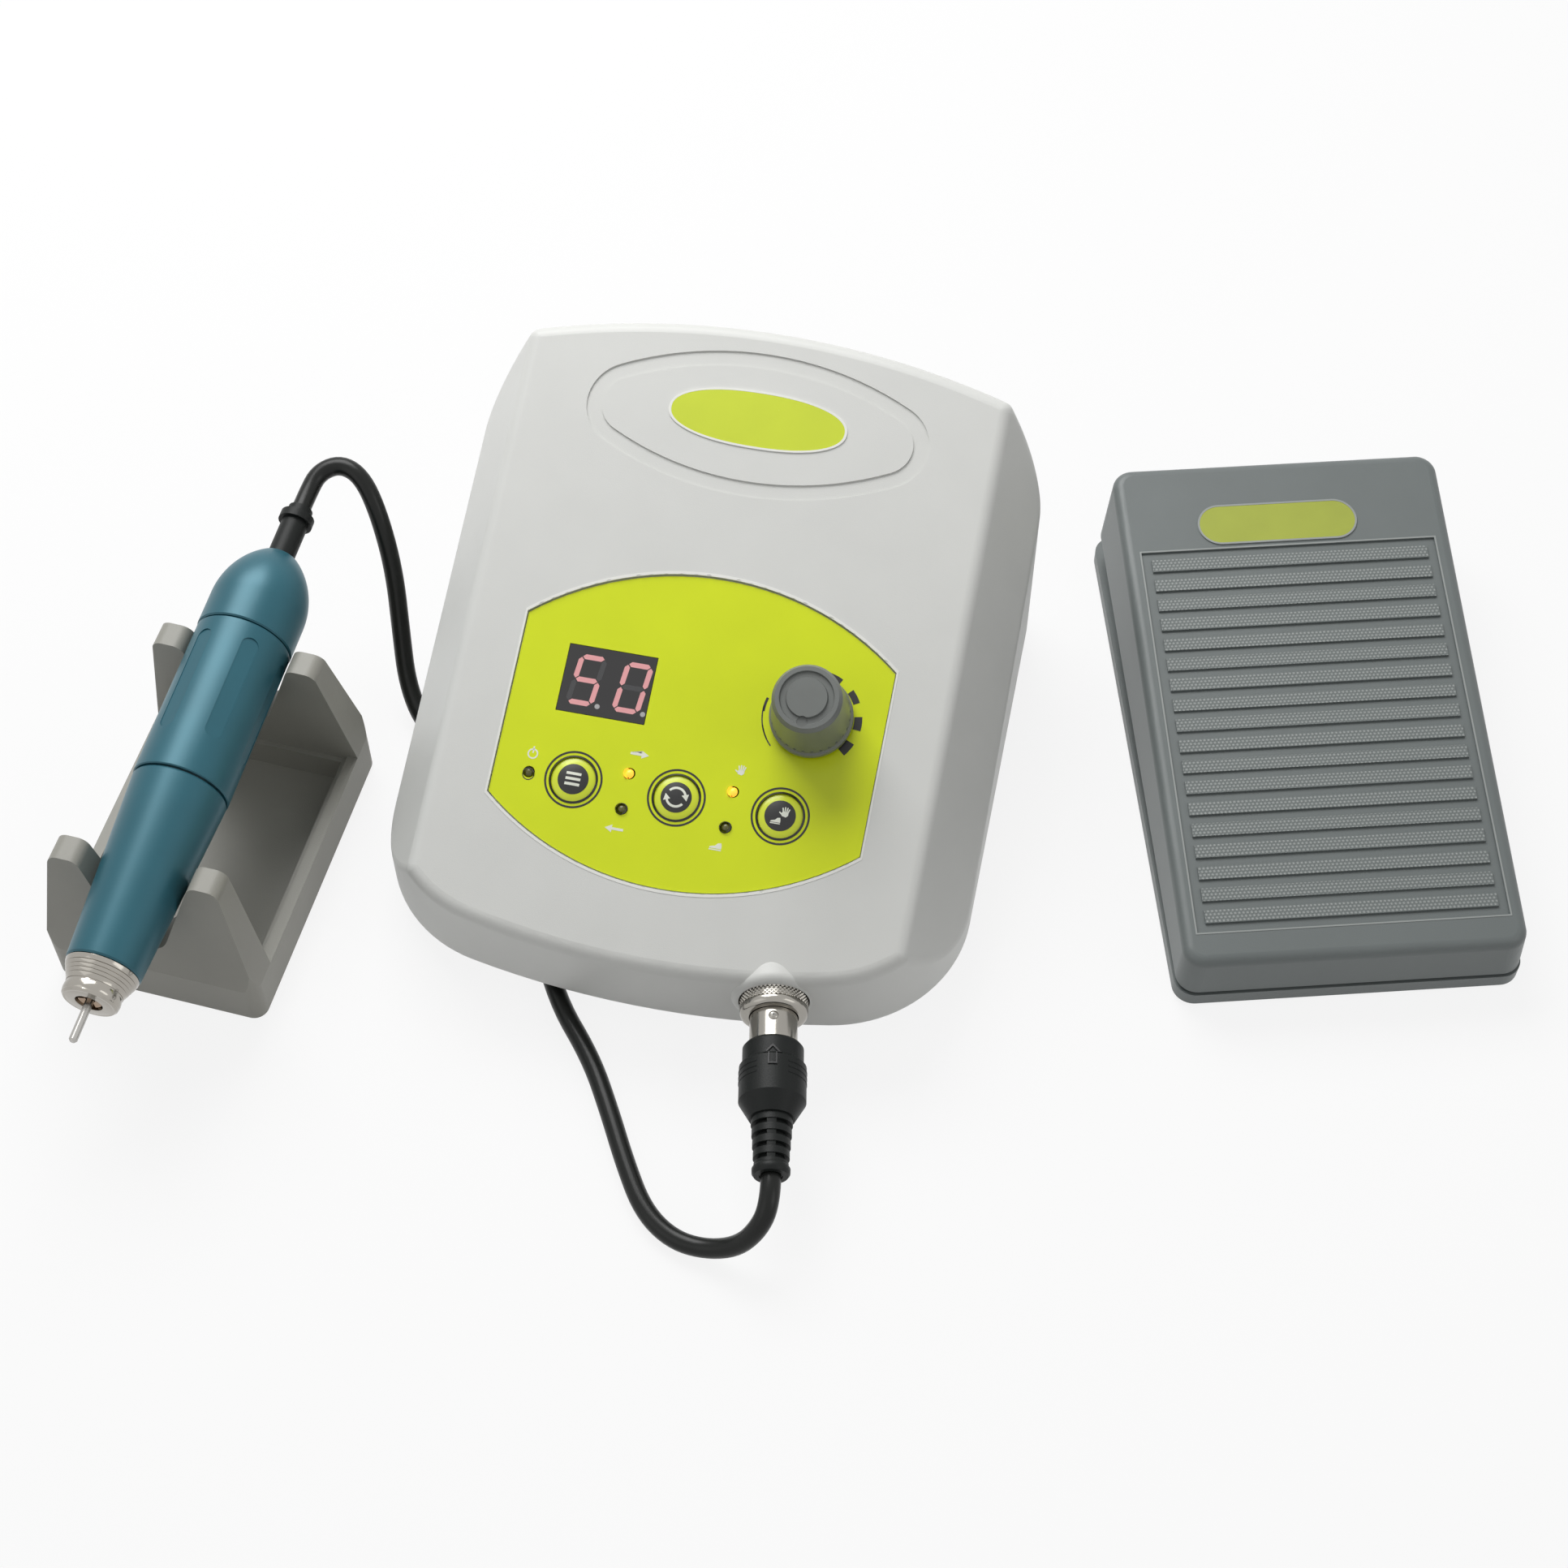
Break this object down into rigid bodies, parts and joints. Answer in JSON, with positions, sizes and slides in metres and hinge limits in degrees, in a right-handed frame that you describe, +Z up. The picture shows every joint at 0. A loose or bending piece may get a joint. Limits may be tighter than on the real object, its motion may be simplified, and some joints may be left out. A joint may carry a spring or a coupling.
{
  "type": "dental lab micromotor",
  "caption": "Bench micromotor for a dental laboratory: control console with speed knob and display, straight handpiece in a notched rest, connecting cord and foot pedal.",
  "frame": {"origin": "on the bench plane, under the middle of the whole layout of console, rest and pedal", "axes": "+Z up, +Y towards the console's rear, +X to the right as a user sees it"},
  "size_m": [0.4023, 0.3141, 0.0956],
  "materials": {
    "shell_white": "fine grain",
    "fascia_lime": "satin print",
    "smoked_window": "clear",
    "display_grey": "satin",
    "lamp_amber": "clear lens",
    "button_green": "clear cap",
    "board_green": "solder mask",
    "switch_black": "matt",
    "steel": "plated",
    "knob_grey": "matt",
    "core_steel": "varnished",
    "winding": "taped",
    "sink_aluminium": "milled",
    "panel_black": "grained",
    "rubber_black": "matt",
    "plug_chrome": "polished",
    "cord_black": "satin",
    "rest_grey": "grained",
    "handpiece_blue": "anodised",
    "nose_chrome": "turned",
    "bronze": "turned",
    "magnet": "nickel",
    "pedal_grey": "grained"
  },
  "bodies": {
    "console": {"console_cover": "shell_white", "console_base": "shell_white", "fascia_overlay": "fascia_lime", "display_window": "smoked_window", "display_module": "display_grey", "status_lamps": "lamp_amber", "control_board": "board_green", "speed_potentiometer": "steel", "rear_panel": "panel_black", "mains_inlet": "switch_black", "inlet_pins": "steel", "switch_housing": "switch_black", "fuse_holder": "switch_black", "pedal_jack": "switch_black", "transformer_core": "core_steel", "transformer_winding": "winding", "driver_board": "board_green", "heat_sink": "sink_aluminium", "console_feet": "rubber_black", "case_screws": "steel", "handpiece_socket": "steel", "plug_shell": "plug_chrome", "plug_insert": "switch_black", "plug_boot": "rubber_black", "plug_strain_relief": "rubber_black", "cord_coil": "cord_black", "cord_lead": "cord_black", "cord_tail": "cord_black", "handpiece_rest": "rest_grey", "rest_feet": "rubber_black", "pedal_base": "pedal_grey", "pedal_hinge_pin": "steel", "pedal_springs": "rubber_black", "pedal_feet": "rubber_black", "pedal_gland": "rubber_black", "pedal_board": "board_green"},
    "speed_control": {"speed_knob": "knob_grey", "knob_shaft": "steel"},
    "mode_key": {"mode_button": "button_green"},
    "direction_key": {"direction_button": "button_green"},
    "control_key": {"control_button": "button_green"},
    "power_switch": {"power_rocker": "switch_black"},
    "plug_nut": {"coupling_nut": "plug_chrome"},
    "handpiece": {"nose_cap": "nose_chrome", "front_barrel": "steel", "motor_housing": "handpiece_blue", "rear_cap": "handpiece_blue", "handpiece_cord_relief": "rubber_black", "motor_stator": "core_steel", "motor_end_bells": "sink_aluminium", "ball_bearings": "steel"},
    "grip": {"grip_sleeve": "handpiece_blue"},
    "drive": {"spindle": "steel", "rotor": "magnet", "drive_coupling": "rubber_black", "spring_washers": "steel"},
    "chuck": {"collet": "bronze"},
    "bur": {"bur_shank": "steel"},
    "treadle": {"pedal_cover": "pedal_grey", "pedal_magnet": "magnet"}
  },
  "joints": [
    {"name": "speed_knob_turn", "type": "hinge", "parent": "console", "child": "speed_control", "pos_m": [-0.0033, -0.00812, 0.05805], "axis": [0, -0.3502, 0.9367], "range_deg": [-150, 150]},
    {"name": "mode_press", "type": "slide", "parent": "console", "child": "mode_key", "axis": [0, 0.3502, -0.9367], "range_m": [0, 0.0005], "stiffness_N_per_m": 1500},
    {"name": "direction_press", "type": "slide", "parent": "console", "child": "direction_key", "axis": [0, 0.3502, -0.9367], "range_m": [0, 0.0005], "stiffness_N_per_m": 1500},
    {"name": "control_press", "type": "slide", "parent": "console", "child": "control_key", "axis": [0, 0.3502, -0.9367], "range_m": [0, 0.0005], "stiffness_N_per_m": 1500},
    {"name": "power_switch_rock", "type": "hinge", "parent": "console", "child": "power_switch", "pos_m": [-0.0331, 0.0841, 0.048], "axis": [1, 0, 0], "range_deg": [0, 16]},
    {"name": "plug_nut_turn", "type": "hinge", "parent": "console", "child": "plug_nut", "pos_m": [0.0009, -0.0774, 0.022], "axis": [0.1942, -0.981, 0], "range_deg": [0, 720]},
    {"name": "handpiece_lift", "type": "slide", "parent": "console", "child": "handpiece", "axis": [0, 0, 1], "range_m": [0, 0.08]},
    {"name": "grip_twist", "type": "hinge", "parent": "handpiece", "child": "grip", "pos_m": [-0.16993, -0.09046, 0.04764], "axis": [0.0522, 0.9962, 0.0697], "range_deg": [0, 60]},
    {"name": "drive_spin", "type": "hinge", "parent": "handpiece", "child": "drive", "pos_m": [-0.16993, -0.09046, 0.04764], "axis": [0.0522, 0.9962, 0.0697], "continuous": true},
    {"name": "collet_open", "type": "slide", "parent": "drive", "child": "chuck", "axis": [-0.0522, -0.9962, -0.0697], "range_m": [0, 0.001]},
    {"name": "bur_pull", "type": "slide", "parent": "chuck", "child": "bur", "axis": [-0.0522, -0.9962, -0.0697], "range_m": [0, 0.04]},
    {"name": "pedal_press", "type": "hinge", "parent": "console", "child": "treadle", "pos_m": [0.15292, -0.02185, 0.011], "axis": [-0.9613, -0.2756, 0], "range_deg": [0, 3], "stiffness_Nm_per_rad": 6, "springref_deg": -3.44, "deforming": ["pedal_springs"]}
  ],
  "couplings": [
    {"joint": "collet_open", "follows": "grip_twist", "m_per_rad": 0.000955}
  ]
}
